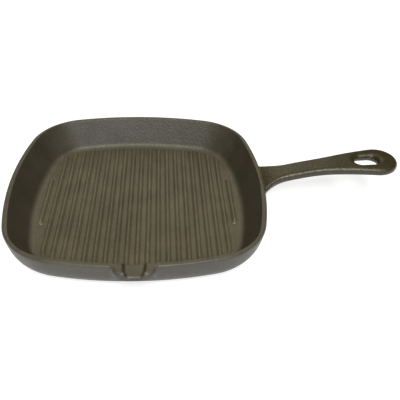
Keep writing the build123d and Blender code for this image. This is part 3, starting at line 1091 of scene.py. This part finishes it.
def seasoned_iron(name, tint, painted_up_light, roughest):
    """Brown-olive iron: mottled colour, satin gloss that varies, and sand grain.

    tint colours the whole skin. The number after it is how many times as bright the faces
    that look up are painted, as painted light from above; below 1 it paints flanks lighter
    than crests. Faces that look down always get painted shade. roughest is the roughness
    of the dullest places.
    """
    material = bpy.data.materials.new(name)
    material.use_nodes = True
    tree = material.node_tree
    shader = tree.nodes["Principled BSDF"]

    def link(output, node, into):
        tree.links.new(output, node.inputs[into])

    place = add_node(tree, "TexCoord", (-1400, 0))
    mottle = add_node(tree, "TexNoise", (-1100, 300), Scale=38.0, Detail=5.0, Roughness=0.6)
    grain = add_node(tree, "TexNoise", (-1100, 0), Scale=1150.0, Detail=3.0, Roughness=0.65)
    sand = add_node(tree, "TexNoise", (-1100, -300), Scale=420.0, Detail=4.0, Roughness=0.6)
    pits = add_node(tree, "TexVoronoi", (-1100, -600), Scale=330.0, Randomness=1.0)
    for texture in (mottle, grain, sand, pits):
        link(place.outputs["Object"], texture, "Vector")
    tone = add_node(tree, "Mix", (-850, 200), data_type="FLOAT", Factor=0.6)
    link(mottle.outputs["Fac"], tone, "A")
    link(grain.outputs["Fac"], tone, "B")
    colour = colour_ramp(tree, (-620, 200), [
        (position, tuple(share * part for share, part in zip(tint, mix)))
        for position, mix in IRON_COLOURS])
    link(tone.outputs["Result"], colour, "Fac")
    facing = add_node(tree, "SeparateXYZ", (-1100, 550))
    link(place.outputs["Normal"], facing, "Vector")
    # painted shade: faces that look down get a darker colour, down to a quarter
    painted_under_shade = rescaled(tree, (-850, 550), facing.outputs["Z"], -0.6, 0.1, 0.25, 1.0)
    # painted light: faces that look up get a brighter colour, by the given factor
    painted_top_light = rescaled(tree, (-620, 550), facing.outputs["Z"], 0.6, 0.97, 1.0, painted_up_light)
    # the colour is scaled by the painted shade below and then by the painted light above
    lit_and_shaded_colour = colour.outputs["Color"]
    for column, painted_light_factor in ((-380, painted_under_shade), (-180, painted_top_light)):
        scaled = add_node(tree, "VectorMath", (column, 300), operation="SCALE")
        link(lit_and_shaded_colour, scaled, 0)
        link(painted_light_factor, scaled, "Scale")
        lit_and_shaded_colour = scaled.outputs["Vector"]
    link(lit_and_shaded_colour, shader, "Base Color")
    gloss = rescaled(tree, (-620, -50), sand.outputs["Fac"], 0.3, 0.7,
                     roughest - GLOSS_RANGE, roughest)
    link(gloss, shader, "Roughness")
    hollow = rescaled(tree, (-850, -600), pits.outputs["Distance"], 0.0, 0.22, -0.5, 0.0)
    cast = add_node(tree, "Math", (-620, -450), operation="ADD")
    link(sand.outputs["Fac"], cast, 0)
    link(hollow, cast, 1)
    coarse = add_node(tree, "Bump", (-380, -300), Strength=0.8, Distance=0.0004)
    fine = add_node(tree, "Bump", (-180, -300), Strength=0.9, Distance=0.00025)
    link(cast.outputs["Value"], coarse, "Height")
    link(grain.outputs["Fac"], fine, "Height")
    link(coarse.outputs["Normal"], fine, "Normal")
    link(fine.outputs["Normal"], shader, "Normal")
    return material


# each finish has painted shade on faces that look down and painted light on faces that look up
body_iron = seasoned_iron("seasoned_iron", tint=(0.97, 0.98, 1.0), painted_up_light=1.5, roughest=0.5)
handle_iron = seasoned_iron("wiped_iron", tint=(0.6, 0.57, 0.27), painted_up_light=1.0, roughest=0.36)
# the ribs' pale tint and a factor below 1 paint their flanks lighter than their crests, as
# painted light
rib_iron = seasoned_iron("rib_iron_painted_light", tint=(2.3, 2.3, 2.3), painted_up_light=0.78, roughest=0.42)
pan_body.data.materials.append(body_iron)
pan_handle.data.materials.append(handle_iron)
for rib in ribs:
    rib.data.materials.append(rib_iron)
print("pieces in iron:", 2 + len(ribs))

# %% [markdown]
# ## Floor and light
# A catalogue picture has a white ground, soft light and almost no shadow. A bright
# surrounding would wash out the dark side walls. So the ground glows by itself, which
# hides the shadows, and soft lamps do the rest: a strong one high in front for the back
# wall and the rounded edges, a bluish one low in front, weak ones behind and above for
# the floor. The side walls face none of them.

# %% Ground and surrounding
GROUND_REACH = 6


def set_inputs(node, **values):
    """Fills in a node's inputs; an underscore stands for a space in their names."""
    for key, value in values.items():
        node.inputs[key.replace("_", " ")].default_value = value


ground = bpy.data.meshes.new("ground")
ground.from_pydata([(x * GROUND_REACH, y * GROUND_REACH, 0)
                    for x, y in ((-1, -1), (1, -1), (1, 1), (-1, 1))], [], [(0, 1, 2, 3)])
ground_piece = put_in_scene("ground", ground)
pale = bpy.data.materials.new("pale_ground")
pale.use_nodes = True
set_inputs(pale.node_tree.nodes["Principled BSDF"], Base_Color=(0.56, 0.58, 0.62, 1.0),
           Roughness=0.9, Emission_Color=(1.0, 1.0, 1.0, 1.0), Emission_Strength=0.67)
ground.materials.append(pale)

world = bpy.data.worlds.new("surrounding")
bpy.context.scene.world = world
world.use_nodes = True
set_inputs(world.node_tree.nodes["Background"], Color=(1.0, 0.985, 0.96, 1.0), Strength=0.06)
print("ground:", 2 * GROUND_REACH, "m across")

# %% Lamps
def soft_lamp(name, place, aim, size, power, colour):
    """A square lamp that looks from its place towards a point, all in metres."""
    data = bpy.data.lights.new(name, "AREA")
    data.shape, data.size, data.energy, data.color = "SQUARE", size, power, colour
    back = np.array(place, float) - np.array(aim, float)
    back /= np.linalg.norm(back)
    side = np.cross([0.0, 1.0, 0.0], back)
    side /= np.linalg.norm(side)
    lamp = put_in_scene(name, data)
    lamp.matrix_world = axes_matrix(side, np.cross(back, side), back, place)


OVER_PAN = (0.03, 0.0, 0.02)
LAMPS = (
    ("lamp_front", (0.1, -1.45, 1.75), 0.8, 50.0, (1.0, 0.975, 0.84)),
    ("window_front", (0.3, -2.2, 0.55), 1.3, 9.0, (0.25, 0.5, 1.0)),
    ("lamp_behind", (0.0, 1.7, 1.3), 1.2, 6.0, (1.0, 0.94, 0.75)),
    ("lamp_above", (0.05, 0.05, 1.7), 1.2, 5.0, (1.0, 0.93, 0.78)),
)
for name, place, size, power, colour in LAMPS:
    soft_lamp(name, place, OVER_PAN, size, power, colour)
bpy.context.scene.view_settings.view_transform = "Standard"
bpy.context.scene.view_settings.look = "None"
print("lamps:", len(LAMPS))
